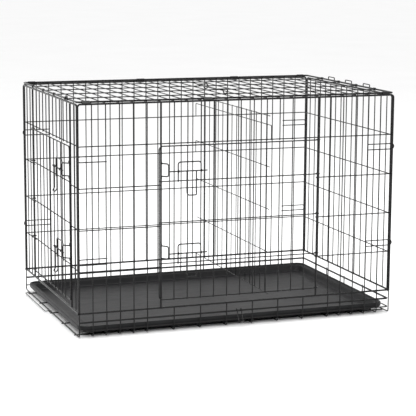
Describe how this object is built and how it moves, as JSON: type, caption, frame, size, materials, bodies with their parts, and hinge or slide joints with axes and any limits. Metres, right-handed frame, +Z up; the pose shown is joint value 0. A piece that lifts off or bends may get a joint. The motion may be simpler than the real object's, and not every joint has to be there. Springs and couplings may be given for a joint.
{
  "type": "wire dog crate",
  "caption": "Black folding wire dog crate with a front door, an end door, a lid, a sliding pan and a wire divider.",
  "frame": {"origin": "on the floor under the middle of the crate", "axes": "+X along the crate from the left end, with the end door, to the right end; +Y from the front panel to the back panel; +Z up"},
  "size_m": [1.1062, 0.7506, 0.7505],
  "materials": {
    "black_wire": "satin",
    "pan_plastic": "matte"
  },
  "bodies": {
    "crate": {"back_corner_hooks": "black_wire", "back_panel_cross_wires": "black_wire", "back_panel_frame": "black_wire", "back_panel_uprights": "black_wire", "base_cross_wires": "black_wire", "base_long_wires": "black_wire", "base_lower_rails": "black_wire", "base_upper_rails": "black_wire", "end_hinge_eyes": "black_wire", "front_corner_hooks": "black_wire", "front_door_keepers": "black_wire", "front_panel_cross_wires": "black_wire", "front_panel_frame": "black_wire", "front_panel_uprights": "black_wire", "lid_hinge_clips": "black_wire"},
    "lid": {"lid_cross_wires": "black_wire", "lid_end_loops": "black_wire", "lid_frame": "black_wire", "lid_front_clips": "black_wire", "lid_long_wires": "black_wire", "lid_wire_wraps": "black_wire"},
    "left_end_panel": {"left_door_keepers": "black_wire", "left_end_cross_wires": "black_wire", "left_end_frame": "black_wire", "left_end_uprights": "black_wire"},
    "right_end_panel": {"right_end_cross_wires": "black_wire", "right_end_frame": "black_wire", "right_end_uprights": "black_wire"},
    "left_door": {"left_door_cross_wires": "black_wire", "left_door_frame": "black_wire", "left_door_guide_eyes": "black_wire", "left_door_latch_brackets": "black_wire", "left_door_uprights": "black_wire"},
    "front_door": {"front_door_cross_wires": "black_wire", "front_door_frame": "black_wire", "front_door_guide_eyes": "black_wire", "front_door_latch_brackets": "black_wire", "front_door_uprights": "black_wire"},
    "divider": {"divider_cross_wires": "black_wire", "divider_uprights": "black_wire"},
    "left_lower_bolt": {"left_lower_bolt": "black_wire"},
    "left_upper_bolt": {"left_upper_bolt": "black_wire"},
    "front_lower_bolt": {"front_lower_bolt": "black_wire"},
    "front_upper_bolt": {"front_upper_bolt": "black_wire"},
    "pan": {"pan": "pan_plastic"},
    "pan_stop": {"pan_stop": "black_wire"},
    "carry_clip": {"carry_clip": "black_wire"},
    "carry_handle": {"carry_handle": "black_wire"}
  },
  "joints": [
    {"name": "lid_hinge", "type": "hinge", "parent": "crate", "child": "lid", "pos_m": [0, 0.3491, 0.7388], "axis": [-1, 0, 0], "range_deg": [0, 100]},
    {"name": "carry_handle_hinge", "type": "hinge", "parent": "lid", "child": "carry_handle", "pos_m": [0.04445, 0, 0.73405], "axis": [0, 1, 0], "range_deg": [0, 90]},
    {"name": "left_end_fold", "type": "hinge", "parent": "crate", "child": "left_end_panel", "pos_m": [-0.5334, 0, 0.08], "axis": [0, -1, 0], "range_deg": [-70, 0]},
    {"name": "left_door_hinge", "type": "hinge", "parent": "left_end_panel", "child": "left_door", "pos_m": [-0.5334, 0.22225, 0.351], "axis": [0, 0, -1], "range_deg": [0, 150]},
    {"name": "left_upper_bolt_slide", "type": "slide", "parent": "left_door", "child": "left_upper_bolt", "axis": [0, -1, 0], "range_m": [0, 0.016]},
    {"name": "left_lower_bolt_slide", "type": "slide", "parent": "left_door", "child": "left_lower_bolt", "axis": [0, -1, 0], "range_m": [0, 0.016]},
    {"name": "right_end_fold", "type": "hinge", "parent": "crate", "child": "right_end_panel", "pos_m": [0.5334, 0, 0.08], "axis": [0, -1, 0], "range_deg": [0, 36]},
    {"name": "front_door_hinge", "type": "hinge", "parent": "crate", "child": "front_door", "pos_m": [0.2667, -0.3556, 0.351], "axis": [0, 0, 1], "range_deg": [0, 150]},
    {"name": "front_upper_bolt_slide", "type": "slide", "parent": "front_door", "child": "front_upper_bolt", "axis": [-1, 0, 0], "range_m": [0, 0.016]},
    {"name": "front_lower_bolt_slide", "type": "slide", "parent": "front_door", "child": "front_lower_bolt", "axis": [-1, 0, 0], "range_m": [0, 0.016]},
    {"name": "pan_slide", "type": "slide", "parent": "crate", "child": "pan", "axis": [-1, 0, 0], "range_m": [0, 0.9]},
    {"name": "pan_stop_hinge", "type": "hinge", "parent": "crate", "child": "pan_stop", "pos_m": [-0.5334, 0.158, 0.0057], "axis": [0, -1, 0], "range_deg": [-85, 0]},
    {"name": "carry_clip_hinge", "type": "hinge", "parent": "crate", "child": "carry_clip", "pos_m": [0, -0.3507, 0.05], "axis": [-1, 0, 0], "range_deg": [0, 100]},
    {"name": "divider_lift", "type": "slide", "parent": "crate", "child": "divider", "axis": [0, 0, 1], "range_m": [0, 0.015]}
  ]
}
